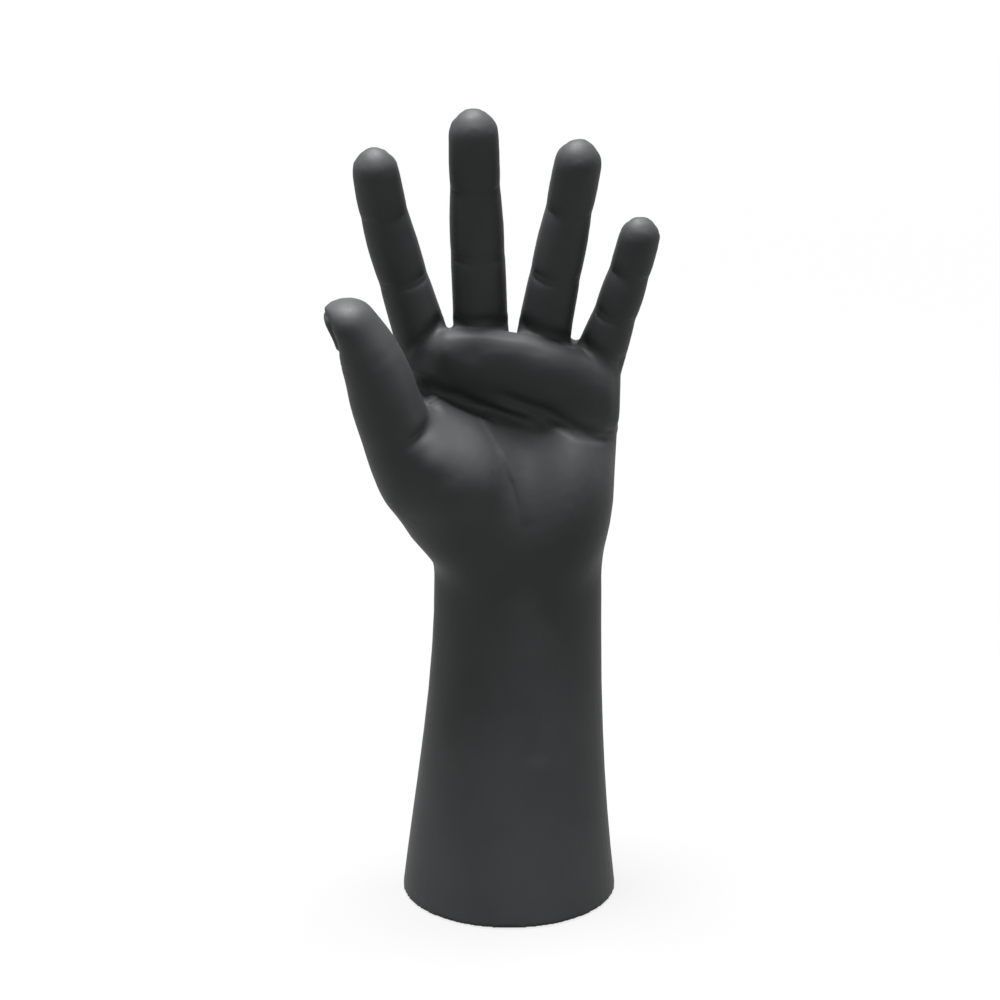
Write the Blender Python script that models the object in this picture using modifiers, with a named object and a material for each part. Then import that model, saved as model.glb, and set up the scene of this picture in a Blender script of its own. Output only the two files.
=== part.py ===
"""Jewelry display hand that stands on its cut forearm.

Seven pieces: the moulded hand, the cap that closes its open end, the ballast
that keeps it upright, the bolt, washer and nut that hold the ballast, and the
pad it stands on. Metres, +Z up, +X towards the little finger, -Y the palm side.
The origin is the middle of the pad's underside.
"""

import math

import bmesh
import bpy
import numpy as np
from mathutils import Euler, Matrix, Vector

MM = 0.001

# Forearm, from the rim that stands over the table to the wrist
WRIST_HEIGHT = 118 * MM
WRIST_SHIFT_X = 3 * MM
WRIST_SHIFT_Y = 2 * MM
WRIST_WIDTH = 58 * MM
WRIST_DEPTH = 41 * MM
BASE_WIDTH = 75.6 * MM
BASE_DEPTH = 74.4 * MM
FOREARM_SECTIONS = 8
FOREARM_OVERRUN = 15 * MM

# Palm core above the wrist: height, shift in X, shift in Y, half width, half depth
PALM_SECTIONS = (
    (17, 0, 3, 31.5, 20),
    (37, -1, 6, 35, 17.5),
    (53, -1.5, 5.5, 36.5, 15.5),
    (65, -1.5, 4, 37, 14),
    (74, -2, 2.5, 36, 12),
    (80, -2.5, 1, 32, 9),
)

# Pad under the fingers, from the index side to the little finger: place from the wrist,
# half height, half depth; its face leans forward over the fold
PAD_ROLL = (
    (-36.5, 5, 73, 6, 4),
    (-33, 1.5, 74, 11, 6.5),
    (-25, -3, 74.5, 13, 7.5),
    (-11, -5, 74, 15, 8),
    (8, -5, 70.5, 15.5, 8.5),
    (24, -3.5, 64, 15.5, 8.5),
    (31, -1, 60.5, 14, 8),
    (34.5, 2, 58, 11, 6),
)
PAD_LEAN = math.radians(20)

# Soft mounds of the palm: centre from the wrist, half sizes, turn about X, Y and Z in degrees
MOUNDS = {
    "thenar": ((-20, -8, 29), (21, 21, 35), (0, -24, 0)),
    "thumb_ball": ((-23, -17, 39), (18.5, 18.5, 19), (0, -24, 0)),
    "hypothenar": ((16.5, -5.5, 25), (16.5, 20, 34), (0, 7, 0)),
    "outer_edge": ((24.5, 5, 47), (10.5, 11, 32), (0, 2, 0)),
    "thumb_web": ((-29, -2, 62), (9, 9, 17), (0, -10, 0)),
    "heel": ((-1, -4.5, 16), (26, 17, 35), (0, 0, 0)),
}

# Digits: first joint from the wrist, bone lengths, sideways and forward tilt of each bone in degrees,
# widths (first joint, middle of the bone, second joint, middle, third joint, pad), turn about its
# length, and how far the tip sits towards the nail
DIGITS = {
    "thumb": ((-25, -6, 23), (42, 30, 21.5), (-26.5, -13, -28), (26, 12, 11), (31, 31.5, 25.5, 25, 22.5, 18.5), 70, 0.8),
    "index": ((-27, 5, 62), (44, 24, 25), (-15.5, -15, -8), (9, 12, 18), (20, 18.5, 17.4, 17.1, 16.7, 16), 0, 0.35),
    "middle": ((-12, 6, 66), (48, 24, 27.5), (-2, -2, -1), (9, 12, 18), (20.5, 18.6, 19, 18, 17.4, 17), 0, 0.35),
    "ring": ((5.2, 5, 63), (44, 23, 26.5), (9.3, 10.8, 9), (9, 12, 18), (20, 18.4, 17.8, 17.1, 16.4, 16.2), 0, 0.35),
    "little": ((21, 4, 56), (37.5, 16, 21), (18, 17, 12.5), (8, 10, 15), (20, 17.8, 15.4, 15, 14.6, 14.2), 0, 0.35),
}

# Digit thickness as a share of its width, at the same six places; how far the knuckles stand back
DEPTH_SHARES = (0.96, 0.95, 0.95, 0.92, 0.9, 0.86)
KNUCKLE_SET_BACK = 5 * MM

# Creases inside the joints (half width, depth) and the edge of each nail (half width and depth of
# the edge, then the nail's half width and half length as shares of the digit's width)
CREASE = (1.3 * MM, 0.6 * MM)
NAIL_EDGE = (0.9 * MM, 0.6 * MM)
NAIL_SIZE = (0.36, 0.4)

# Folds pressed into the palm side: places across and up from the wrist, half width, depth, and how
# far forward each reaches, so that those of the palm leave the thumb alone. The finger step is the
# edge of the pad, where the fingers rise behind it; the thumb fold parts the thumb from its ball.
FOLDS = {
    "head_line": (((-42, 71), (-30, 68), (-24, 65.5), (-14.5, 61.5), (-4.5, 58), (9, 54.5)), 2.2, 3.4, 18),
    "heart_line": (((-9, 67), (0, 62.5), (10.5, 58.5), (20.5, 54.5), (32, 50), (44, 45)), 1.8, 2.6, 18),
    "finger_step": (((-44, 74), (-36, 81), (-26, 89), (-10, 90), (4, 88), (17, 84), (25, 80), (44, 71)), 2.2, 1.8, 18),
    "thumb_fold": (((-29.5, 66), (-28.5, 61.5), (-30.5, 58.5), (-35, 56.5), (-41, 55.5)), 1.8, 2.8, 60),
}
FOLD_RUNOUT = 10 * MM
SHARP_REACH = 6 * MM

# Moulded wall, its ledge for the cap, and the gap left between pieces that touch
WALL = 3 * MM
LEDGE = 2.5 * MM
GAP = 0.3 * MM
RIM_LIFT = 0.6 * MM
CAVITY_TOP = 50

# Pad and cap
PAD_THICKNESS = 2.4 * MM
PAD_INSET = 0.8 * MM
PLATE_THICKNESS = 5 * MM
SPIGOT_HEIGHT = 9 * MM
SPIGOT_WALL = 2.5 * MM
SPIGOT_ROOM = 2 * MM
BOSS_RADIUS = 9 * MM
BOSS_HEIGHT = 4 * MM
CHAMFER = 0.6 * MM

# Ballast and the bolt through it
BALLAST_HEIGHT = 26 * MM
BALLAST_PLAY = 1.2 * MM
BOLT_DIAMETER = 6 * MM
HEX_SIZE = 10 * MM
HEAD_HEIGHT = 4 * MM
NUT_HEIGHT = 5 * MM
WASHER_RADIUS = 6.2 * MM
WASHER_THICKNESS = 1.6 * MM
BOLT_OVERRUN = 2 * MM
HEAD_SET_IN = 0.4 * MM

# Heights that follow from the sizes above
PLATE_BOTTOM = PAD_THICKNESS + GAP
PLATE_TOP = PLATE_BOTTOM + PLATE_THICKNESS
LEDGE_HEIGHT = PLATE_TOP + GAP
SPIGOT_TOP = PLATE_TOP + SPIGOT_HEIGHT
STRAIGHT_TOP = SPIGOT_TOP + SPIGOT_ROOM
BOSS_TOP = PLATE_TOP + BOSS_HEIGHT
HEAD_BOTTOM = PLATE_BOTTOM + HEAD_SET_IN
HEAD_TOP = HEAD_BOTTOM + HEAD_HEIGHT
BALLAST_BOTTOM = PLATE_TOP + GAP
BALLAST_TOP = BALLAST_BOTTOM + BALLAST_HEIGHT
WASHER_BOTTOM = BALLAST_TOP + GAP
NUT_BOTTOM = WASHER_BOTTOM + WASHER_THICKNESS + GAP
BOLT_TOP = NUT_BOTTOM + NUT_HEIGHT + BOLT_OVERRUN

# Half sizes that follow from the sizes above
SOCKET = (BASE_WIDTH / 2 - WALL, BASE_DEPTH / 2 - WALL)
BORE = BOLT_DIAMETER / 2 + GAP
HEX_CORNER = HEX_SIZE / math.sqrt(3)
HEAD_RECESS = HEX_CORNER + 2 * GAP

# Skin: how finely the forms are fused, how far they are evened out, how many triangles are kept
FUSE_GRID = 1 * MM
SHARP_ROUNDS = 5
EVEN_ROUNDS = 7
MOUND_ROUNDS = 160
SKIN_TRIANGLES = 9200
SHARP_ANGLE = math.radians(50)
DIGIT_SIDES = 24
ARM_SIDES = 48
TURNED_SIDES = 64
PATH_STEP = 2 * MM

# Finishes: colour, roughness, metallic
FINISHES = {
    "matte_black_vinyl": ((0.032, 0.033, 0.034), 0.58, 0),
    "black_abs": ((0.02, 0.02, 0.021), 0.45, 0),
    "raw_cast_iron": ((0.09, 0.088, 0.085), 0.7, 0.9),
    "zinc_plated_steel": ((0.55, 0.56, 0.58), 0.32, 1),
    "black_foam": ((0.018, 0.018, 0.018), 0.95, 0),
}


ACROSS = Vector((1, 0, 0))
FRONT = Vector((0, -1, 0))


def wrist():
    return Vector((WRIST_SHIFT_X, WRIST_SHIFT_Y, WRIST_HEIGHT))


def from_wrist(offset_mm):
    return wrist() + Vector(offset_mm) * MM


def forearm_section(share):
    """Centre, half width and half depth of the forearm, from the base at 0 to the wrist at 1."""
    narrowing = math.sin(0.5 * math.pi * share)
    drift = narrowing**2
    centre = Vector((WRIST_SHIFT_X * drift, WRIST_SHIFT_Y * drift, WRIST_HEIGHT * share))
    half_width = 0.5 * (BASE_WIDTH + (WRIST_WIDTH - BASE_WIDTH) * narrowing)
    half_depth = 0.5 * (BASE_DEPTH + (WRIST_DEPTH - BASE_DEPTH) * narrowing)
    return centre, half_width, half_depth


def add_ring(form, sides, centre, side, front, half_width, half_depth):
    """Adds one open elliptical ring to the form and returns its vertices in turn."""
    place = Matrix((side * half_width, front * half_depth, side.cross(front))).transposed().to_4x4()
    place.translation = centre
    return bmesh.ops.create_circle(form, segments=sides, radius=1, matrix=place)["verts"]


def add_loft(form, sides, rings, closed=False):
    """Adds a body that runs through the rings in turn, its ends capped or joined to each other."""
    loops = [add_ring(form, sides, *ring) for ring in rings]
    if closed:
        loops.append(loops[0])
    else:
        form.faces.new(loops[0])
        form.faces.new(loops[-1])
    for near, far in zip(loops, loops[1:]):
        for this in range(sides):
            form.faces.new((near[this - 1], near[this], far[this], far[this - 1]))


def add_arm_and_palm(form):
    side, front = ACROSS, FRONT
    centre, half_width, half_depth = forearm_section(0)
    rings = [(centre - Vector((0, 0, FOREARM_OVERRUN)), side, front, half_width, half_depth)]
    for step in range(FOREARM_SECTIONS + 1):
        centre, half_width, half_depth = forearm_section(step / FOREARM_SECTIONS)
        rings.append((centre, side, front, half_width, half_depth))
    for height, shift_x, shift_y, half_width, half_depth in PALM_SECTIONS:
        centre = from_wrist((shift_x, shift_y, height))
        rings.append((centre, side, front, half_width * MM, half_depth * MM))
    add_loft(form, ARM_SIDES, rings)


def add_pad_roll(form):
    lean = Matrix.Rotation(PAD_LEAN, 3, "X")
    up, front = lean @ Vector((0, 0, 1)), lean @ FRONT
    add_loft(form, ARM_SIDES, [(from_wrist(row[:3]), up, front, row[3] * MM, row[4] * MM) for row in PAD_ROLL])


def add_mounds(form):
    for centre, half_sizes, turn in MOUNDS.values():
        turned = Euler([math.radians(a) for a in turn]).to_matrix().to_4x4()
        place = Matrix.Translation(from_wrist(centre)) @ turned @ Matrix.Diagonal((*half_sizes, 1))
        sized = place @ Matrix.Diagonal((MM, MM, MM, 1))
        bmesh.ops.create_uvsphere(form, u_segments=28, v_segments=18, radius=1, matrix=sized)


def digit_rings(joint, bones, splays, leans, widths, turn, tip_bias):
    """Rings along the curved bones and round the tip, and the places of the two joints and the nail."""
    ends = np.concatenate([[0], np.cumsum(bones)])
    middles = (ends[:-1] + ends[1:]) / 2
    stations = (0, middles[0], ends[1], middles[1], ends[2], middles[2])
    tip_radius = widths[-1] / 2
    centre = from_wrist(joint)
    rings = []
    steps = round((ends[-1] - tip_radius) * MM / PATH_STEP)
    step = (ends[-1] - tip_radius) / steps
    for index in range(steps + 1):
        along = index * step
        splay = math.radians(np.interp(along, middles, splays))
        lean = math.radians(np.interp(along, middles, leans))
        heading = Vector(
            (math.sin(splay) * math.cos(lean), -math.sin(lean), math.cos(splay) * math.cos(lean))
        )
        side = Vector((math.cos(splay), 0, -math.sin(splay)))
        side = Matrix.Rotation(math.radians(turn), 3, heading) @ side
        front = side.cross(heading)
        radius = np.interp(along, stations, widths) * MM / 2
        depth = radius * np.interp(along, stations, DEPTH_SHARES)
        rings.append((centre.copy(), side, front, radius, depth))
        centre += heading * step * MM
    marks = [rings[round(place / step)] for place in (ends[1], ends[2], ends[-1] - tip_radius)]
    centre -= heading * step * MM
    for angle in (20, 38, 54, 68, 79, 87):
        round_in, out = math.cos(math.radians(angle)), math.sin(math.radians(angle))
        place = centre + heading * radius * out - front * depth * (1 - round_in) * tip_bias
        rings.append((place, side, front, radius * round_in, depth * round_in))
    return rings, marks


def add_digit(form, *digit):
    """Adds a finger or the thumb, with the knuckle at its root."""
    rings, _ = digit_rings(*digit)
    root, _, front, radius, _ = rings[0]
    back = max(0, front.dot(FRONT) - 0.5) * KNUCKLE_SET_BACK
    knuckle = Matrix.Translation(root - FRONT * back)
    bmesh.ops.create_uvsphere(form, u_segments=DIGIT_SIDES, v_segments=16, radius=radius, matrix=knuckle)
    add_loft(form, DIGIT_SIDES, rings)


def mesh_object(name, mesh, collection):
    made = bpy.data.objects.new(name, mesh)
    collection.objects.link(made)
    return made


def evaluated_copy(source):
    """The object's mesh with its modifiers applied."""
    bpy.context.view_layer.update()
    return bpy.data.meshes.new_from_object(source.evaluated_get(bpy.context.evaluated_depsgraph_get()))


def line_distance(points, line_mm):
    """Distance of every point from a line over the palm, as seen from the front, and from its nearer end."""
    seen = points[:, ::2]
    places = [np.array(from_wrist((across, 0, up)))[::2] for across, up in line_mm]
    nearest = np.full(len(points), np.inf)
    for start, end in zip(places, places[1:]):
        run = end - start
        along = np.clip((seen - start) @ run / (run @ run), 0, 1)
        nearest = np.minimum(nearest, np.linalg.norm(seen - start - along[:, None] * run, axis=1))
    from_end = np.minimum(*(np.linalg.norm(seen - place, axis=1) for place in (places[0], places[-1])))
    return nearest, from_end


def mound_share(points):
    """1 on the mounds of the palm, falling to 0 a little way off them."""
    share = np.zeros(len(points))
    for centre, half_sizes, turn in MOUNDS.values():
        turned = np.array(Euler([math.radians(a) for a in turn]).to_matrix())
        local = (points - np.array(from_wrist(centre))) @ turned / (np.array(half_sizes) * MM)
        share = np.maximum(share, np.clip((1.18 - np.linalg.norm(local, axis=1)) / 0.18, 0, 1))
    return share


def even_out(mesh):
    """Draws each vertex towards its neighbours: least on the sharp lines, most on the mounds."""
    count = len(mesh.vertices)
    points = np.empty(count * 3)
    mesh.vertices.foreach_get("co", points)
    points = points.reshape(-1, 3)
    pairs = np.empty(len(mesh.edges) * 2, dtype=np.int32)
    mesh.edges.foreach_get("vertices", pairs)
    first, second = pairs.reshape(-1, 2).T
    neighbours = np.bincount(pairs, minlength=count)[:, None]
    off_lines, _ = line_distance(points, FOLDS["finger_step"][0])
    free = np.clip(off_lines / SHARP_REACH - 0.5, 0, 1)
    stages = (
        (SHARP_ROUNDS, np.ones(count)),
        (EVEN_ROUNDS, free),
        (MOUND_ROUNDS, free * mound_share(points)),
    )
    for rounds, share in stages:
        for _ in range(rounds):
            total = np.zeros_like(points)
            for axis in range(3):
                total[:, axis] = np.bincount(first, points[second, axis], count)
                total[:, axis] += np.bincount(second, points[first, axis], count)
            points += (total / neighbours - points) * share[:, None] / 2
    mesh.vertices.foreach_set("co", points.ravel())


def fold_press(points, normals):
    """How deep each point lies in the folds of the palm, which run out towards their ends."""
    press = np.zeros(len(points))
    forward = (points - np.array(wrist())) @ np.array(FRONT)
    for line, half_width, depth, reach in FOLDS.values():
        off_line, from_end = line_distance(points, line)
        groove = np.exp(-((off_line / (half_width * MM)) ** 2)) * depth * MM
        groove *= np.clip(from_end / FOLD_RUNOUT, 0, 1) * (forward < reach * MM)
        press = np.maximum(press, groove)
    return press * np.clip(2 * (normals @ np.array(FRONT)), 0, 1)


def digit_press(points, normals, digit):
    """How deep each point lies in the creases of a digit's joints and in the edge of its nail."""
    press = np.zeros(len(points))
    *joints, tip = digit_rings(*digit)[1]
    for centre, side, front, radius, _ in joints:
        offset = points - np.array(centre)
        along = offset @ np.array(side.cross(front)) / CREASE[0]
        palmar = np.clip(normals @ np.array(front) + 0.2, 0, 1) * max(0, front.dot(FRONT))
        near = np.linalg.norm(offset, axis=1) < 1.4 * radius
        press += np.exp(-(along**2)) * CREASE[1] * palmar * near
    centre, side, front, radius, _ = tip
    offset = points - np.array(centre)
    across = offset @ np.array(side) / (2 * radius * NAIL_SIZE[0])
    along = offset @ np.array(side.cross(front)) / (2 * radius * NAIL_SIZE[1])
    off_edge = ((across**4 + along**4) ** 0.25 - 1) * 2 * radius * NAIL_SIZE[1] / NAIL_EDGE[0]
    behind = np.clip(-2 * (normals @ np.array(front)), 0, 1) * (np.linalg.norm(offset, axis=1) < 1.6 * radius)
    return press + np.exp(-(off_edge**2)) * NAIL_EDGE[1] * behind


def press_detail(mesh):
    """Presses the folds, creases and nail edges into the skin."""
    count = len(mesh.vertices)
    points, normals = np.empty(count * 3), np.empty(count * 3)
    mesh.vertices.foreach_get("co", points)
    mesh.vertices.foreach_get("normal", normals)
    points, normals = points.reshape(-1, 3), normals.reshape(-1, 3)
    press = fold_press(points, normals)
    for digit in DIGITS.values():
        press += digit_press(points, normals, digit)
    mesh.vertices.foreach_set("co", (points - normals * press[:, None]).ravel())


def hand_skin(collection):
    """The outer form of the hand: forearm, palm, mounds and digits fused and evened out."""
    form = bmesh.new()
    add_arm_and_palm(form)
    add_mounds(form)
    add_pad_roll(form)
    for digit in DIGITS.values():
        add_digit(form, *digit)
    bmesh.ops.recalc_face_normals(form, faces=form.faces)
    mesh = bpy.data.meshes.new("hand_form")
    form.to_mesh(mesh)
    form.free()
    forms = mesh_object("hand_form", mesh, collection)
    fuse = forms.modifiers.new("fuse", "REMESH")
    fuse.mode = "VOXEL"
    fuse.voxel_size = FUSE_GRID
    skin = evaluated_copy(forms)
    bpy.data.objects.remove(forms)
    even_out(skin)
    skin.update()
    press_detail(skin)
    thinned = mesh_object("hand_form", skin, collection)
    thin = thinned.modifiers.new("thin", "DECIMATE")
    thin.ratio = SKIN_TRIANGLES / (2 * len(skin.polygons))
    mesh = evaluated_copy(thinned)
    bpy.data.objects.remove(thinned)
    return mesh


def lofted(name, rows, collection, closed=True):
    """A body through upright rings, each a half width, a half depth and a height."""
    form = bmesh.new()
    rings = [(Vector((0, 0, height)), ACROSS, FRONT, wide, deep) for wide, deep, height in rows]
    add_loft(form, TURNED_SIDES, rings, closed)
    return finished(name, form, collection)


def hex_prism(name, bottom, top, collection):
    form = bmesh.new()
    place = Matrix.Translation((0, 0, (bottom + top) / 2))
    bmesh.ops.create_cone(
        form, cap_ends=True, segments=6, radius1=HEX_CORNER, radius2=HEX_CORNER, depth=top - bottom, matrix=place
    )
    return finished(name, form, collection)


def finished(name, form, collection):
    bmesh.ops.recalc_face_normals(form, faces=form.faces)
    mesh = bpy.data.meshes.new(name)
    form.to_mesh(mesh)
    form.free()
    return mesh_object(name, mesh, collection)


def combine(target, tool, operation):
    step = target.modifiers.new(operation.lower(), "BOOLEAN")
    step.operation = operation
    step.solver = "EXACT"
    step.object = tool


def give_finish(piece, name):
    finish = bpy.data.materials.new(name)
    finish.use_nodes = True
    colour, roughness, metallic = FINISHES[name]
    shader = finish.node_tree.nodes["Principled BSDF"]
    shader.inputs["Base Color"].default_value = (*colour, 1)
    shader.inputs["Roughness"].default_value = roughness
    shader.inputs["Metallic"].default_value = metallic
    finish.diffuse_color = (*colour, 1)
    piece.data.materials.append(finish)


def mouth():
    """Half sizes of the straight bore above the ledge that the cap's spigot enters."""
    _, half_width, half_depth = forearm_section(STRAIGHT_TOP / WRIST_HEIGHT)
    return min(SOCKET[0] - LEDGE, half_width - WALL), min(SOCKET[1] - LEDGE, half_depth - WALL)


def spigot_inside():
    half_width, half_depth = mouth()
    return half_width - GAP - SPIGOT_WALL, half_depth - GAP - SPIGOT_WALL


def cavity_section(share):
    """Centre, half width and half depth of the hollow at a share of the forearm's height."""
    centre, half_width, half_depth = forearm_section(share)
    bore_width, bore_depth = mouth()
    return centre, min(half_width - WALL, bore_width), min(half_depth - WALL, bore_depth)


def cavity_core(collection):
    """The hollow: socket for the cap, ledge, straight bore, then forearm and palm less the wall."""
    rows = [(*SOCKET, -FOREARM_OVERRUN), (*SOCKET, LEDGE_HEIGHT)]
    rows += [(*mouth(), LEDGE_HEIGHT), (*mouth(), STRAIGHT_TOP)]
    rings = [(Vector((0, 0, height)), ACROSS, FRONT, wide, deep) for wide, deep, height in rows]
    for step in range(1, FOREARM_SECTIONS + 1):
        centre, half_width, half_depth = cavity_section(step / FOREARM_SECTIONS)
        if centre.z > STRAIGHT_TOP + SPIGOT_ROOM:
            rings.append((centre, ACROSS, FRONT, half_width, half_depth))
    for height, shift_x, shift_y, half_width, half_depth in PALM_SECTIONS:
        if height < CAVITY_TOP:
            centre = from_wrist((shift_x, shift_y, height))
            rings.append((centre, ACROSS, FRONT, half_width * MM - WALL, half_depth * MM - WALL))
    rings.append((from_wrist((0, 8, CAVITY_TOP)), ACROSS, FRONT, 20 * MM, 6 * MM))
    form = bmesh.new()
    add_loft(form, TURNED_SIDES, rings)
    return finished("cavity_core", form, collection)


def rim_cut(collection):
    form = bmesh.new()
    height = 2 * FOREARM_OVERRUN
    place = Matrix.Translation((0, 0, RIM_LIFT - height / 2))
    place = place @ Matrix.Diagonal((2 * BASE_WIDTH, 2 * BASE_DEPTH, height, 1))
    bmesh.ops.create_cube(form, size=1, matrix=place)
    return finished("rim_cut", form, collection)


def hand_shell(parts, tools):
    """The hand and forearm as one hollow moulding, open below."""
    form = mesh_object("hand_solid", hand_skin(tools), tools)
    combine(form, rim_cut(tools), "DIFFERENCE")
    combine(form, cavity_core(tools), "DIFFERENCE")
    hand = mesh_object("hand_shell", evaluated_copy(form), parts)
    hand.data.shade_smooth()
    hand.data.set_sharp_from_angle(angle=SHARP_ANGLE)
    give_finish(hand, "matte_black_vinyl")


def base_cap(parts):
    """The plug in the mouth: plate, spigot round its edge, boss with the recess for the bolt head."""
    plate = (SOCKET[0] - GAP, SOCKET[1] - GAP)
    spigot = (mouth()[0] - GAP, mouth()[1] - GAP)
    rows = (
        (plate[0] - CHAMFER, plate[1] - CHAMFER, PLATE_BOTTOM),
        (*plate, PLATE_BOTTOM + CHAMFER),
        (*plate, PLATE_TOP),
        (*spigot, PLATE_TOP),
        (*spigot, SPIGOT_TOP - CHAMFER),
        (spigot[0] - CHAMFER, spigot[1] - CHAMFER, SPIGOT_TOP),
        (*spigot_inside(), SPIGOT_TOP),
        (*spigot_inside(), PLATE_TOP),
        (BOSS_RADIUS, BOSS_RADIUS, PLATE_TOP),
        (BOSS_RADIUS, BOSS_RADIUS, BOSS_TOP),
        (BORE, BORE, BOSS_TOP),
        (BORE, BORE, HEAD_TOP + GAP),
        (HEAD_RECESS, HEAD_RECESS, HEAD_TOP + GAP),
        (HEAD_RECESS, HEAD_RECESS, PLATE_BOTTOM),
    )
    give_finish(lofted("base_cap", rows, parts), "black_abs")


def ballast_radius():
    """As wide as the spigot and the hollow at the ballast's top allow."""
    _, half_width, half_depth = cavity_section(BALLAST_TOP / WRIST_HEIGHT)
    return min(*spigot_inside(), half_width, half_depth) - BALLAST_PLAY


def ballast_weight(parts):
    """The cast weight, bored for the bolt and counterbored over the boss."""
    outer, counterbore = ballast_radius(), BOSS_RADIUS + 2 * GAP
    profile = (
        (counterbore, BALLAST_BOTTOM),
        (outer - CHAMFER, BALLAST_BOTTOM),
        (outer, BALLAST_BOTTOM + CHAMFER),
        (outer, BALLAST_TOP - CHAMFER),
        (outer - CHAMFER, BALLAST_TOP),
        (BORE, BALLAST_TOP),
        (BORE, BOSS_TOP + GAP),
        (counterbore, BOSS_TOP + GAP),
    )
    rows = [(radius, radius, height) for radius, height in profile]
    give_finish(lofted("ballast_weight", rows, parts), "raw_cast_iron")


def ballast_fixings(parts, tools):
    """The bolt up through cap and ballast, with its washer and nut."""
    shank = BOLT_DIAMETER / 2
    bolt = hex_prism("ballast_bolt", HEAD_BOTTOM, HEAD_TOP, parts)
    rod = [(shank, shank, HEAD_TOP - HEAD_HEIGHT / 2), (shank, shank, BOLT_TOP - CHAMFER)]
    rod.append((shank - CHAMFER, shank - CHAMFER, BOLT_TOP))
    combine(bolt, lofted("bolt_rod", rod, tools, closed=False), "UNION")
    washer_top = WASHER_BOTTOM + WASHER_THICKNESS
    ring = ((BORE, WASHER_BOTTOM), (WASHER_RADIUS, WASHER_BOTTOM), (WASHER_RADIUS, washer_top), (BORE, washer_top))
    washer = lofted("ballast_washer", [(radius, radius, height) for radius, height in ring], parts)
    nut = hex_prism("ballast_nut", NUT_BOTTOM, NUT_BOTTOM + NUT_HEIGHT, parts)
    drill = [(BORE, BORE, NUT_BOTTOM - NUT_HEIGHT), (BORE, BORE, NUT_BOTTOM + 2 * NUT_HEIGHT)]
    combine(nut, lofted("nut_drill", drill, tools, closed=False), "DIFFERENCE")
    for piece in (bolt, washer, nut):
        give_finish(piece, "zinc_plated_steel")


def base_pad(parts):
    half_width, half_depth = SOCKET[0] - PAD_INSET, SOCKET[1] - PAD_INSET
    rows = [(half_width, half_depth, height) for height in (0, PAD_THICKNESS)]
    give_finish(lofted("base_pad", rows, parts, closed=False), "black_foam")


def main():
    for old in list(bpy.data.objects):
        bpy.data.objects.remove(old)
    parts = bpy.data.collections.new("display_hand")
    tools = bpy.data.collections.new("cutters")
    for collection in (parts, tools):
        bpy.context.scene.collection.children.link(collection)
    hand_shell(parts, tools)
    base_cap(parts)
    ballast_weight(parts)
    ballast_fixings(parts, tools)
    base_pad(parts)
    for tool in tools.objects:
        tool.hide_render = True
        tool.display_type = "WIRE"


main()
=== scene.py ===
"""Looks of the jewelry display hand: skin detail, finishes, floor, light and camera."""

import math

import bmesh
import bpy
import numpy as np
from mathutils import Matrix, Vector


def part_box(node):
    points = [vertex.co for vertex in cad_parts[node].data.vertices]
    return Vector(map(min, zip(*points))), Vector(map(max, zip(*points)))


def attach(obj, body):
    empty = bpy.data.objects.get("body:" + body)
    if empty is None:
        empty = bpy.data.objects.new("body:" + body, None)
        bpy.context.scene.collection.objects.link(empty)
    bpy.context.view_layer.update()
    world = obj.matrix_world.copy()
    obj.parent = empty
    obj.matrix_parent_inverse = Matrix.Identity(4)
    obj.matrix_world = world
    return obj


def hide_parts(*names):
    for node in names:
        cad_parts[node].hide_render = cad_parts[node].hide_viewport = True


MM = 0.001
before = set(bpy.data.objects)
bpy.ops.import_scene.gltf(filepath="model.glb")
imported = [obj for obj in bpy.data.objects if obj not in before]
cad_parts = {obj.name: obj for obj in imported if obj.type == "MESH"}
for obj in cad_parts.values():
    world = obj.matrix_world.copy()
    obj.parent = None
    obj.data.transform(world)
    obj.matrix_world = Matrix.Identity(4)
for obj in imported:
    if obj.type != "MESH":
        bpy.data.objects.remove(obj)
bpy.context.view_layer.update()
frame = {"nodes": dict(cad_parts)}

# Camera: place in metres, tilt in degrees, lens and sensor width
CAMERA_PLACE = (-0.0032, -1, 0.466)
CAMERA_TILT = 72.15
CAMERA_LENS, CAMERA_SENSOR = 110.5, 36

# Light: fill from all round, and the soft boxes (place, width, height, watts) with what they aim at
FILL = 0.14
LIT_MIDDLE = (0, 0, 0.16)
SOFT_BOXES = (
    ("top_box", (-0.1, 0.02, 1.6), 0.6, 0.6, 108),
    ("front_panel", (0, -0.9, 0.9), 0.5, 0.5, 3.2),
    ("left_panel", (-0.7, 0, 0.15), 0.3, 0.5, 1.2),
    ("right_panel", (0.7, 0, 0.15), 0.3, 0.5, 1.2),
)
# Floor: its half size, the tone that lights the stand, the part of the shadow that shows, and the lift
# that makes it white to the eye from the stand out to FLOOR_FAR
FLOOR_SIZE = 3
FLOOR_TONE = 0.16
FLOOR_SHADE = 0.05
FLOOR_LIFT = 0.8
FLOOR_FAR = 2.4

# Finishes: dark and light tone, roughness range, metallic, scale of the clouds and of the grain, the
# grain's strength and depth, and the specular level
FINISHES = {
    "matte_black_vinyl": (
        (0.027, 0.028, 0.029), (0.034, 0.035, 0.036), (0.5, 0.6), 0, 35, 1400, 0.06, 0.00012, 0.13,
    ),
    "black_foam": ((0.014, 0.014, 0.014), (0.024, 0.024, 0.024), (0.85, 1), 0, 120, 1800, 0.5, 0.0003, 0.5),
    "black_abs": ((0.018, 0.018, 0.019), (0.025, 0.025, 0.026), (0.38, 0.5), 0, 60, 2200, 0.12, 0.0001, 0.5),
    "raw_cast_iron": ((0.06, 0.057, 0.054), (0.13, 0.12, 0.11), (0.55, 0.8), 0.85, 90, 900, 0.45, 0.0004, 0.5),
    "zinc_plate": ((0.5, 0.51, 0.54), (0.62, 0.62, 0.6), (0.24, 0.38), 1, 160, 1500, 0.08, 0.0001, 0.5),
}

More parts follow.
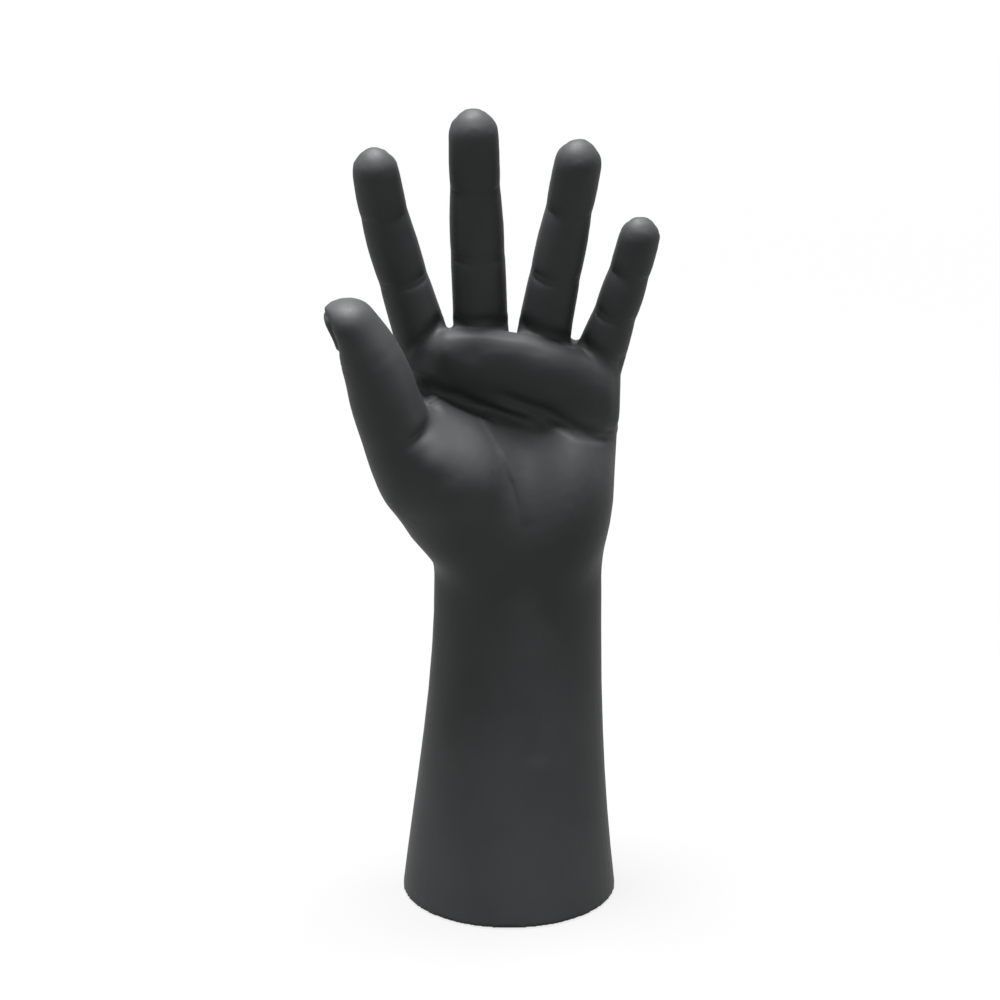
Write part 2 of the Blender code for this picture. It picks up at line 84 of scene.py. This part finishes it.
# Skin mesh: weld distance, voxel size, the steps that even it out and keep its size, the step that
# softens it with its rounds at the creases and on the back of the hand, and the height of the rim's edge
# with the band that is drawn to it
WELD = 0.01 * MM
SKIN_GRID = 0.7 * MM
EVEN_STEPS = (0.5, -0.53) * 30
SOFT_STEP = 0.5
SOFT_ROUNDS = 24
BACK_ROUNDS = 600
RIM_HEIGHT = 0.6 * MM
RIM_BAND = 0.3 * MM
# Faces kept: the height of the plain forearm, the hollow's middle, half width, front and top, the share
# of faces kept on both, and the faces in all
PLAIN_FROM, PLAIN_TO = 3 * MM, 104 * MM
HOLLOW_MIDDLE = (2 * MM, 5 * MM, 0)
HOLLOW_HALF_WIDTH, HOLLOW_FRONT, HOLLOW_TOP = 34 * MM, -14 * MM, 170 * MM
PLAIN_KEPT = 0.16
SKIN_FACES = 190000
# Softened creases: the wrist's height and reach, the reach round a joint as a share of its half width,
# and some folds of the palm, across and up in mm, with their reach
SOFT_WRIST = (120, 7)
SOFT_JOINT = 1.3
SOFT_FOLDS = (((-16, 188), (0, 183), (18, 175)), ((2, 152), (6, 140)))
SOFT_FOLD_REACH = 4
# Back of the hand: lowest and highest place in mm with the run-out at both, and how far the surface has
# to face back where it starts and over what range
BACK_FROM, BACK_TO, BACK_FADE = 118, 208, 14
BACK_FACING, BACK_TURN = 0.15, 0.4

# Palm side of each digit, then its root, two joints and nail bed, and the digit's half width at
# the last three, in mm
DIGITS = {
    "thumb": (
        (0.92, -0.34, 0.2),
        ((-22, -4, 141), (-38, -21, 176), (-46, -28, 204), (-51, -30.5, 214.5)),
        (12.5, 11, 9),
    ),
    "index": (
        (0, -1, 0),
        ((-24, 7, 180), (-35.5, 0, 222), (-41.5, -5.5, 245), (-44, -10, 260.5)),
        (8.7, 8.3, 8),
    ),
    "middle": (
        (0, -1, 0),
        ((-9, 8, 184), (-10.5, 0, 231), (-11.5, -5, 254), (-12, -10.5, 273)),
        (9.5, 8.7, 8.5),
    ),
    "ring": (
        (0, -1, 0),
        ((8, 7, 181), (15.5, 0, 223.5), (19.5, -5, 246.5), (22.5, -10.5, 263)),
        (8.9, 8.2, 8.1),
    ),
    "little": (
        (0, -1, 0),
        ((24, 6, 174), (35.5, 0.5, 209.5), (40, -2.5, 224.5), (43, -5.5, 237.5)),
        (7.7, 7.3, 7.1),
    ),
}

# How far a joint's marks reach round it, as a share of the half width and a margin in mm, and how far
# their lines wander
JOINT_REACH, JOINT_MARGIN = 1.5, 2
LINE_WANDER = 0.18
# Creases inside each joint: joint, place along the digit, sag of the line, half width, depth in mm
JOINT_CREASES = (
    (1, -1, 0.6, 0.5, 0.26),
    (1, 1, 0.6, 0.5, 0.2),
    (2, 0, 0.8, 0.6, 0.3),
)
# Wrinkles over the back of each joint, the same way
BACK_WRINKLES = (
    (1, -2.4, 1.3, 0.6, 0.2),
    (1, -0.8, 0.5, 0.6, 0.26),
    (1, 0.8, -0.5, 0.6, 0.26),
    (1, 2.4, -1.3, 0.6, 0.2),
    (2, -0.9, 0.4, 0.5, 0.2),
    (2, 0.9, -0.4, 0.5, 0.2),
)
# How far along the finger its waist at each joint and the swell between two joints reach, and the depth
FINGER_WAIST = (3.5, 0.12)
FINGER_SWELL = (6, -0.12)
# Nails: half width and half length as shares of the digit's width, edge half width and depth, rise, and
# how much stronger the thumb's is
NAIL_SIZE = (0.36, 0.4)
NAIL_EDGE = (0.5, 0.25)
NAIL_RISE = 0.25
THUMB_NAIL = 1.3

# Lines of the palm, across and up in mm, with half width, depth and how far forward they reach, run
# out over LINE_END at their ends; those with a depth below 0 stand proud
PALM_LINES = {
    "finger_step": (
        ((-38, 194), (-23, 207), (-7, 208), (7, 206), (20, 202), (28, 198), (44, 190)),
        2.4, -0.5, 26,
    ),
    "pinch": (((-35, 185), (-27.2, 180.4), (-20, 183.5)), 0.6, 0.6, 14),
}
LINE_END = 9
# Ridge between the ball of the thumb and the palm, across and up in mm, with its width, height, how far
# it runs out into the palm and over its ends
LIFE_LINE = (
    (-14.5, 179.5), (-11.3, 176), (-8.6, 172.3), (-5.2, 166.7),
    (-2.2, 161), (0.5, 155), (2.6, 148), (3.6, 141),
)
LIFE_RIDGE = (1.5, 1.2, 6.5, 16)
# Round places on the palm: across, up, half width, half height, depth, and how far forward it reaches
PALM_SPOTS = {
    "web_hollow": (-28.5, 184, 2.8, 1.7, 2.4, 14),
    "thumb_ball": (-25, 167.5, 7, 6.5, -2, 60),
    "index_pad": (-23, 199, 5, 4, -0.5, 26),
    "middle_dip": (-13, 198.5, 4, 4, 0.5, 26),
    "middle_pad": (-1, 200, 6, 4, -0.4, 26),
    "ring_dip": (11, 201, 5, 3, 0.5, 26),
    "ring_pad": (19, 195, 6, 5, -0.4, 26),
    "fold_end": (35, 168, 5, 2.2, -0.9, 26),
}
# Soft ridges in mm: half width and height of the cords on the back of the hand and of the knuckles, half
# width and depth of the dips between those, and the groove beside the long muscle of the forearm
BACK_CORD = (2.8, 0.6)
CORD_END, CORD_FADE, CORD_START = 130, 30, 20
KNUCKLE = (7, 2.1)
KNUCKLE_DIP = (4, 0.6)
KNUCKLE_DIP_LENGTH = 14
FOREARM_GROOVE = ((12, 108), (12.5, 85), (10, 60))
FOREARM_GROOVE_SIZE = (3.5, 0.5)

# Foam pad: segments round it and the radius of its cut edge
FOAM_SEGMENTS = 128
FOAM_EDGE = 0.5 * MM


def aim(thing, place, target):
    thing.location = place
    thing.rotation_euler = (Vector(target) - Vector(place)).to_track_quat("-Z", "Y").to_euler()


def set_camera():
    lens = bpy.data.cameras.new("camera")
    lens.sensor_width = CAMERA_SENSOR
    lens.lens = CAMERA_LENS
    camera = bpy.data.objects.new("camera", lens)
    camera.location = CAMERA_PLACE
    camera.rotation_euler = (math.radians(CAMERA_TILT), 0, 0)
    bpy.context.scene.collection.objects.link(camera)
    bpy.context.scene.camera = camera
    bpy.context.scene.view_settings.view_transform = "Standard"


def soft_box(name, place, target, width, height, watts):
    lamp = bpy.data.lights.new(name, "AREA")
    lamp.shape = "RECTANGLE"
    lamp.size = width
    lamp.size_y = height
    lamp.energy = watts
    made = bpy.data.objects.new(name, lamp)
    bpy.context.scene.collection.objects.link(made)
    aim(made, place, target)


def seen_white(nodes, links):
    """1 for what the camera sees straight on or in a reflection, 0 for light that falls on things."""
    path = nodes.new("ShaderNodeLightPath")
    total = path.outputs["Is Camera Ray"]
    for ray in ("Is Glossy Ray", "Is Transmission Ray"):
        join = nodes.new("ShaderNodeMath")
        join.operation = "MAXIMUM"
        links.new(total, join.inputs[0])
        links.new(path.outputs[ray], join.inputs[1])
        total = join.outputs["Value"]
    return total


def set_lights():
    world = bpy.data.worlds.new("studio")
    bpy.context.scene.world = world
    world.use_nodes = True
    nodes, links = world.node_tree.nodes, world.node_tree.links
    nodes["Background"].inputs["Color"].default_value = (1, 1, 1, 1)
    strength = nodes.new("ShaderNodeMix")
    strength.inputs["A"].default_value = FILL
    strength.inputs["B"].default_value = 1
    links.new(seen_white(nodes, links), strength.inputs["Factor"])
    links.new(strength.outputs["Result"], nodes["Background"].inputs["Strength"])
    for name, place, width, height, watts in SOFT_BOXES:
        soft_box(name, place, LIT_MIDDLE, width, height, watts)


def set_floor():
    form = bmesh.new()
    bmesh.ops.create_grid(form, x_segments=1, y_segments=1, size=FLOOR_SIZE)
    mesh = bpy.data.meshes.new("floor")
    form.to_mesh(mesh)
    form.free()
    floor = bpy.data.objects.new("floor", mesh)
    bpy.context.scene.collection.objects.link(floor)
    white = bpy.data.materials.new("white_sweep")
    white.use_nodes = True
    nodes, links = white.node_tree.nodes, white.node_tree.links
    shader = nodes["Principled BSDF"]
    shader.inputs["Roughness"].default_value = 0.9
    shader.inputs["Specular IOR Level"].default_value = 0
    shader.inputs["Emission Color"].default_value = (1, 1, 1, 1)
    seen = seen_white(nodes, links)
    tone = nodes.new("ShaderNodeMix")
    tone.data_type = "RGBA"
    tone.inputs["A"].default_value = (*(FLOOR_TONE,) * 3, 1)
    tone.inputs["B"].default_value = (*(FLOOR_SHADE,) * 3, 1)
    links.new(seen, tone.inputs["Factor"])
    links.new(tone.outputs["Result"], shader.inputs["Base Color"])
    place = nodes.new("ShaderNodeTexCoord")
    far = nodes.new("ShaderNodeVectorMath")
    far.operation = "LENGTH"
    links.new(place.outputs["Object"], far.inputs[0])
    lift = nodes.new("ShaderNodeMapRange")
    lift.interpolation_type = "SMOOTHSTEP"
    lift.inputs["From Max"].default_value = FLOOR_FAR
    lift.inputs["To Min"].default_value = FLOOR_LIFT
    lift.inputs["To Max"].default_value = 1
    links.new(far.outputs["Value"], lift.inputs["Value"])
    shown = nodes.new("ShaderNodeMath")
    shown.operation = "MULTIPLY"
    links.new(seen, shown.inputs[0])
    links.new(lift.outputs["Result"], shown.inputs[1])
    links.new(shown.outputs["Value"], shader.inputs["Emission Strength"])
    mesh.materials.append(white)


def read_array(items, name, width):
    values = np.empty(len(items) * width)
    items.foreach_get(name, values)
    return values.reshape(-1, width)


def even_out(mesh, steps, share):
    """Moves every point by its share towards its neighbours' middle, or away from it for a step below 0."""
    points = read_array(mesh.vertices, "co", 3)
    pairs = np.empty(len(mesh.edges) * 2, dtype=np.int32)
    mesh.edges.foreach_get("vertices", pairs)
    share = np.where(share > 0.01, share, 0)
    pairs = pairs.reshape(-1, 2)
    used, pairs = np.unique(pairs[(share[pairs] > 0).any(axis=1)], return_inverse=True)
    first, second = pairs.reshape(-1, 2).T
    moved, share, count = points[used], share[used, None], len(used)
    neighbours = np.bincount(pairs.ravel(), minlength=count)[:, None]
    for step in steps:
        total = np.zeros_like(moved)
        for axis in range(3):
            total[:, axis] = np.bincount(first, moved[second, axis], count)
            total[:, axis] += np.bincount(second, moved[first, axis], count)
        moved += (total / neighbours - moved) * step * share
    points[used] = moved
    mesh.vertices.foreach_set("co", points.ravel())
    mesh.update()


def line_distance(points, line):
    """Distance of every point from a line given across and up, in mm as seen from the front."""
    seen = points[:, ::2] / MM
    nearest = np.full(len(points), np.inf)
    for start, end in zip(line, line[1:]):
        start, run = np.array(start), np.array(end) - np.array(start)
        along = np.clip((seen - start) @ run / max(run @ run, 1e-9), 0, 1)
        nearest = np.minimum(nearest, np.linalg.norm(seen - start - along[:, None] * run, axis=1))
    return nearest


def groove(distance, half_width):
    return np.exp(-((distance / half_width) ** 2))


def bone_axes(start, end, palm_side):
    """Along the bone, across it, and out of its palm side."""
    along = (Vector(end) - Vector(start)).normalized()
    across = Vector(palm_side).cross(along).normalized()
    return [np.array(axis) for axis in (along, across, along.cross(across))]


def near_joint(offset, half_width):
    return np.linalg.norm(offset, axis=1) < JOINT_REACH * half_width + JOINT_MARGIN


def joint_press(points, normals, rows, digit, facing):
    """How far creases or wrinkles press in around a digit's joints, in mm."""
    palm_side, places, half_widths = digit
    press = np.zeros(len(points))
    for joint, shift, sag, half_width, depth in rows:
        along, across, out = bone_axes(places[joint - 1], places[joint + 1], palm_side)
        offset = points / MM - np.array(places[joint])
        side = offset @ across / half_widths[joint - 1]
        wander = LINE_WANDER * np.sin(5 * side + 3 * joint + shift)
        distance = offset @ along - shift - sag * (side**2 - 0.3) - wander
        on_side = np.clip(1.6 * facing * (normals @ out), 0, 1) * near_joint(offset, half_widths[joint - 1])
        press += groove(distance, half_width) * depth * on_side
    return press


def waist_press(points, digit):
    """How far a finger draws in at its joints and swells between them, in mm."""
    palm_side, places, half_widths = digit
    press = np.zeros(len(points))
    for start, half_width in zip((1, 2), half_widths):
        joint, after = (np.array(place, dtype=float) for place in places[start : start + 2])
        along, _, _ = bone_axes(places[start - 1], places[start + 1], palm_side)
        for place, reach, depth in ((joint, *FINGER_WAIST), ((joint + after) / 2, *FINGER_SWELL)):
            offset = points / MM - place
            press += groove(offset @ along, reach) * depth * near_joint(offset, half_width)
    return press


def nail_press(points, normals, digit):
    """How far the edge of a nail presses in and its plate stands out, in mm."""
    palm_side, places, half_widths = digit
    along, across, out = bone_axes(places[2], places[3], palm_side)
    offset = points / MM - np.array(places[3])
    width, length = (2 * half_widths[2] * share for share in NAIL_SIZE)
    from_edge = (((offset @ across / width) ** 4 + (offset @ along / length) ** 4) ** 0.25 - 1) * length
    behind = np.clip(-2 * (normals @ out), 0, 1) * (np.linalg.norm(offset, axis=1) < 1.9 * half_widths[2])
    plate = np.clip(-from_edge / 0.8, 0, 1) * NAIL_RISE
    return (groove(from_edge, NAIL_EDGE[0]) * NAIL_EDGE[1] - plate) * behind


def life_press(points):
    """How far the ridge at the edge of the ball of the thumb stands out, in mm below 0."""
    width, height, run_out, fade = LIFE_RIDGE
    across, up = np.array(LIFE_LINE[::-1]).T
    high = points[:, 2] / MM
    past = points[:, 0] / MM - np.interp(high, up, across)
    rise = np.clip(past / width, 0, 1)
    ends = np.clip((high - up[0]) / fade, 0, 1) * np.clip((up[-1] - high) / fade, 0, 1)
    return -height * rise**2 * (3 - 2 * rise) * groove(np.maximum(past, 0), run_out) * ends


def palm_press(points, normals):
    """How far the lines and round places of the palm press in, in mm, behind the thumb."""
    press = life_press(points)
    for line, half_width, depth, reach in PALM_LINES.values():
        from_end = np.minimum(*(line_distance(points, (end, end)) for end in (line[0], line[-1])))
        depth = depth * np.clip(from_end / LINE_END, 0, 1) * (points[:, 1] > -reach * MM)
        press += groove(line_distance(points, line), half_width) * depth
    for across, up, half_width, half_height, depth, reach in PALM_SPOTS.values():
        offset = (points[:, ::2] / MM - (across, up)) / (half_width, half_height)
        press += groove(np.linalg.norm(offset, axis=1), 1) * depth * (points[:, 1] > -reach * MM)
    return press * np.clip(-2 * normals[:, 1], 0, 1)


def soft_ridges(points, normals):
    """How far the cords and knuckles on the back of the hand and the forearm's groove press in, in mm."""
    half_width, depth = FOREARM_GROOVE_SIZE
    press = groove(line_distance(points, FOREARM_GROOVE), half_width) * depth * np.clip(-normals[:, 1], 0, 1)
    behind = np.clip(normals[:, 1], 0, 1)
    high = points[:, 2] / MM
    roots = [DIGITS[name][1][0][::2] for name in ("index", "middle", "ring", "little")]
    for across, up in roots:
        cord = ((across, up), (0.8 * across, up - 20), (0.4 * across, CORD_END))
        run_out = np.clip((high - CORD_END) / CORD_FADE, 0, 1) * np.clip((up - high) / CORD_START, 0, 1)
        press -= groove(line_distance(points, cord), BACK_CORD[0]) * BACK_CORD[1] * run_out * behind
        knuckle = ((across, up - 1), (across, up + 3))
        press -= groove(line_distance(points, knuckle), KNUCKLE[0]) * KNUCKLE[1] * behind
    for (across, up), (next_across, next_up) in zip(roots, roots[1:]):
        middle = ((across + next_across) / 2, (up + next_up) / 2)
        dip = (middle, (middle[0], middle[1] + KNUCKLE_DIP_LENGTH))
        press += groove(line_distance(points, dip), KNUCKLE_DIP[0]) * KNUCKLE_DIP[1] * behind
    return press


def soft_places(points):
    """1 around the joints, the wrist and some folds of the palm, where the moulded creases are softened."""
    share = groove(points[:, 2] / MM - SOFT_WRIST[0], SOFT_WRIST[1])
    for _, places, half_widths in DIGITS.values():
        for place, half_width in zip(places[1:3], half_widths):
            from_joint = np.linalg.norm(points / MM - place, axis=1)
            share = np.maximum(share, groove(from_joint, SOFT_JOINT * half_width))
    for line in SOFT_FOLDS:
        share = np.maximum(share, groove(line_distance(points, line), SOFT_FOLD_REACH) * (points[:, 1] < 0))
    return share


def back_of_hand(points, normals):
    """1 on the back of the hand below the fingers, run out towards its edges."""
    high = points[:, 2] / MM
    share = np.clip((normals[:, 1] - BACK_FACING) / BACK_TURN, 0, 1) * (points[:, 1] > 0)
    return share * np.clip((high - BACK_FROM) / BACK_FADE, 0, 1) * np.clip((BACK_TO - high) / BACK_FADE, 0, 1)


def hollow_or_plain(points, normals):
    """1 on the plain forearm and in the hidden hollow, where a coarser mesh will do."""
    inward = ((points - np.array(HOLLOW_MIDDLE)) * (1, 1, 0) * normals).sum(axis=1) < 0
    in_hollow = (np.abs(points[:, 0]) < HOLLOW_HALF_WIDTH) & (points[:, 1] > HOLLOW_FRONT)
    in_hollow &= points[:, 2] < HOLLOW_TOP
    plain = (points[:, 2] < PLAIN_TO) & (points[:, 2] > PLAIN_FROM)
    return (plain | (in_hollow & inward)).astype(float)


def baked(piece):
    """The piece's mesh with its modifiers applied."""
    bpy.context.view_layer.update()
    mesh = bpy.data.meshes.new_from_object(piece.evaluated_get(bpy.context.evaluated_depsgraph_get()))
    piece.modifiers.clear()
    piece.data = mesh
    return mesh


def hand_skin():
    """A fine copy of the moulding that carries the creases, lines, nails and cords."""
    form = bmesh.new()
    form.from_mesh(frame["nodes"]["hand_shell"].data)
    bmesh.ops.remove_doubles(form, verts=form.verts, dist=WELD)
    mesh = bpy.data.meshes.new("hand_skin")
    form.to_mesh(mesh)
    form.free()
    hand = bpy.data.objects.new("hand_skin", mesh)
    bpy.context.scene.collection.objects.link(hand)
    grid = hand.modifiers.new("grid", "REMESH")
    grid.mode = "VOXEL"
    grid.voxel_size = SKIN_GRID
    mesh = baked(hand)
    even_out(mesh, EVEN_STEPS, np.ones(len(mesh.vertices)))
    even_out(mesh, (SOFT_STEP,) * SOFT_ROUNDS, soft_places(read_array(mesh.vertices, "co", 3)))
    points, normals = read_array(mesh.vertices, "co", 3), read_array(mesh.vertices, "normal", 3)
    even_out(mesh, (SOFT_STEP,) * BACK_ROUNDS, back_of_hand(points, normals))
    points = read_array(mesh.vertices, "co", 3)
    normals = read_array(mesh.vertices, "normal", 3)
    press = palm_press(points, normals) + soft_ridges(points, normals)
    for name, digit in DIGITS.items():
        on_thumb = name == "thumb"
        wrinkles = [row for row in BACK_WRINKLES if row[0] == 2 or not on_thumb]
        press += joint_press(points, normals, () if on_thumb else JOINT_CREASES, digit, 1)
        press += joint_press(points, normals, wrinkles, digit, -1)
        press += 0 if on_thumb else waist_press(points, digit)
        press += nail_press(points, normals, digit) * (THUMB_NAIL if on_thumb else 1)
    points -= normals * press[:, None] * MM
    points[:, 2] = np.where(points[:, 2] < RIM_HEIGHT + RIM_BAND, RIM_HEIGHT, points[:, 2])
    mesh.vertices.foreach_set("co", points.ravel())
    mesh.update()
    coarse = hand.vertex_groups.new(name="plain")
    share = hollow_or_plain(points, normals)
    coarse.add(np.flatnonzero(share > 0.5).tolist(), 1, "REPLACE")
    thin = hand.modifiers.new("thin", "DECIMATE")
    thin.vertex_group = "plain"
    thin.ratio = 1 - share.mean() * (1 - PLAIN_KEPT)
    mesh = baked(hand)
    hand.vertex_groups.clear()
    even = hand.modifiers.new("even", "DECIMATE")
    mesh.calc_loop_triangles()
    even.ratio = SKIN_FACES / len(mesh.loop_triangles)
    mesh = baked(hand)
    mesh.shade_smooth()
    return hand


def new_finish(name):
    finish = bpy.data.materials.new(name)
    finish.use_nodes = True
    return finish, finish.node_tree.nodes, finish.node_tree.links


def noise(nodes, links, scale, detail):
    place = nodes.new("ShaderNodeTexCoord")
    grain = nodes.new("ShaderNodeTexNoise")
    grain.inputs["Scale"].default_value = scale
    grain.inputs["Detail"].default_value = detail
    links.new(place.outputs["Object"], grain.inputs["Vector"])
    return grain.outputs["Fac"]


def spread(nodes, links, value, low, high):
    """Turns a 0 to 1 pattern into a range of values."""
    rows = nodes.new("ShaderNodeMapRange")
    rows.inputs["From Min"].default_value = 0.3
    rows.inputs["From Max"].default_value = 0.7
    rows.inputs["To Min"].default_value = low
    rows.inputs["To Max"].default_value = high
    links.new(value, rows.inputs["Value"])
    return rows.outputs["Result"]


def tint(nodes, links, value, dark, light):
    blend = nodes.new("ShaderNodeValToRGB")
    blend.color_ramp.elements[0].position = 0.3
    blend.color_ramp.elements[1].position = 0.7
    blend.color_ramp.elements[0].color = (*dark, 1)
    blend.color_ramp.elements[1].color = (*light, 1)
    links.new(value, blend.inputs["Fac"])
    return blend.outputs["Color"]


def relief(nodes, links, value, strength, depth):
    bump = nodes.new("ShaderNodeBump")
    bump.inputs["Strength"].default_value = strength
    bump.inputs["Distance"].default_value = depth
    links.new(value, bump.inputs["Height"])
    return bump.outputs["Normal"]


def grained_finish(kind, name):
    """A finish whose colour and gloss drift in clouds and whose surface has a fine grain."""
    dark, light, rough, metallic, cloud, grain, strength, depth, specular = FINISHES[kind]
    finish, nodes, links = new_finish(name)
    shader = nodes["Principled BSDF"]
    shader.inputs["Metallic"].default_value = metallic
    shader.inputs["Specular IOR Level"].default_value = specular
    clouds = noise(nodes, links, cloud, 4)
    fine = noise(nodes, links, grain, 3)
    links.new(tint(nodes, links, clouds, dark, light), shader.inputs["Base Color"])
    links.new(spread(nodes, links, fine, *rough), shader.inputs["Roughness"])
    links.new(relief(nodes, links, fine, strength, depth), shader.inputs["Normal"])
    return finish


def give(piece, finish):
    piece.data.materials.clear()
    piece.data.materials.append(finish)


def base_foam():
    """The die-cut foam under the cap, with its soft cut edge."""
    low, high = (Vector(corner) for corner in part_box("base_pad"))
    form = bmesh.new()
    size = Matrix.Diagonal(((high.x - low.x) / 2, (high.y - low.y) / 2, 1, 1))
    place = Matrix.Translation(((low.x + high.x) / 2, (low.y + high.y) / 2, low.z))
    bmesh.ops.create_circle(form, cap_ends=True, segments=FOAM_SEGMENTS, radius=1, matrix=place @ size)
    raised = bmesh.ops.extrude_face_region(form, geom=form.faces[:])["geom"]
    top = [made for made in raised if isinstance(made, bmesh.types.BMVert)]
    bmesh.ops.translate(form, verts=top, vec=(0, 0, high.z - low.z))
    bmesh.ops.recalc_face_normals(form, faces=form.faces)
    rims = [edge for edge in form.edges if edge.calc_face_angle(0) > 1]
    bmesh.ops.bevel(form, geom=rims, offset=FOAM_EDGE, affect="EDGES", segments=3, profile=0.5, material=-1)
    mesh = bpy.data.meshes.new("base_foam")
    form.to_mesh(mesh)
    form.free()
    mesh.shade_smooth()
    mesh.set_sharp_from_angle(angle=math.radians(40))
    pad = bpy.data.objects.new("base_foam", mesh)
    bpy.context.scene.collection.objects.link(pad)
    return pad


set_camera()
set_lights()
set_floor()

hand = hand_skin()
give(hand, grained_finish("matte_black_vinyl", "matte_black_vinyl"))
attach(hand, "root")
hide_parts("hand_shell")

foam = base_foam()
give(foam, grained_finish("black_foam", "black_foam"))
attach(foam, "root")
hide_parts("base_pad")

nodes = frame["nodes"]
give(nodes["base_cap"], grained_finish("black_abs", "black_abs"))
give(nodes["ballast_weight"], grained_finish("raw_cast_iron", "raw_cast_iron"))
for name in ("ballast_bolt", "ballast_washer", "ballast_nut"):
    give(nodes[name], grained_finish("zinc_plate", "zinc_plate_" + name))
